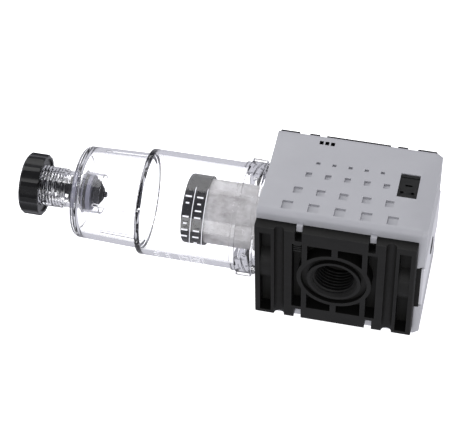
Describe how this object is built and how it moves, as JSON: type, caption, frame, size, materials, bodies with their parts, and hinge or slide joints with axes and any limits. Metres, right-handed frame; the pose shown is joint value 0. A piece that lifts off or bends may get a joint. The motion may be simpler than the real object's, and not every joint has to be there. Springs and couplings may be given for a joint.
{
  "type": "compressed air filter",
  "caption": "Modular compressed-air filter with a block housing, two threaded ports, a clear bayonet bowl and a screw-operated manual drain.",
  "frame": {"origin": "on the rear cover's flat back face, straight below the point where the bowl axis meets the port axis", "axes": "+Z out of the front cover, +X along the bowl axis towards the top cap (up in use), -X towards the drain knob, +Y out of the inlet port, -Y out of the outlet port"},
  "size_m": [0.2007, 0.063, 0.074],
  "materials": {
    "housing_black": "fine-grained glass-filled moulding, black",
    "cover_grey": "fine spark-eroded texture, light grey",
    "cap_grey": "smooth satin, pale grey",
    "trim_black": "semi-gloss, black",
    "bowl_clear": "polished clear polycarbonate",
    "element_white": "porous sintered plastic, off-white",
    "core_grey": "smooth, grey",
    "internal_black": "smooth moulding, black",
    "seal_rubber": "nitrile rubber, black",
    "spring_steel": "drawn stainless wire",
    "knob_black": "fine-grained moulding, black"
  },
  "bodies": {
    "housing": {"body": "housing_black", "front_cover": "cover_grey", "rear_cover": "cover_grey", "top_cap": "cap_grey", "top_plug": "trim_black", "window_insert": "trim_black", "deflector": "internal_black", "element_upper_seal": "seal_rubber", "filter_element": "element_white", "element_core": "core_grey", "element_lower_seal": "seal_rubber", "element_cap": "internal_black", "tie_rod": "internal_black"},
    "bowl": {"bowl": "bowl_clear", "bowl_oring": "seal_rubber", "drain_seat": "core_grey", "drain_seat_oring": "seal_rubber", "drain_spring": "spring_steel"},
    "drain_stem": {"drain_stem": "internal_black", "drain_cone": "seal_rubber", "drain_piston": "internal_black", "piston_oring": "seal_rubber", "stem_clip": "spring_steel"},
    "drain_knob": {"drain_knob": "knob_black"}
  },
  "joints": [
    {"name": "bowl_turn", "type": "hinge", "parent": "housing", "child": "bowl", "pos_m": [-0.037, 0, 0.037], "axis": [-1, 0, 0], "range_deg": [0, 45]},
    {"name": "drain_lift", "type": "slide", "parent": "bowl", "child": "drain_stem", "axis": [-1, 0, 0], "range_m": [0, 0.00099], "deforming": ["drain_spring"]},
    {"name": "drain_turn", "type": "hinge", "parent": "drain_stem", "child": "drain_knob", "pos_m": [-0.155, 0, 0.037], "axis": [-1, 0, 0], "range_deg": [0, 238]}
  ],
  "couplings": [
    {"joint": "drain_turn", "follows": "drain_lift", "rad_per_m": 4188.8}
  ]
}
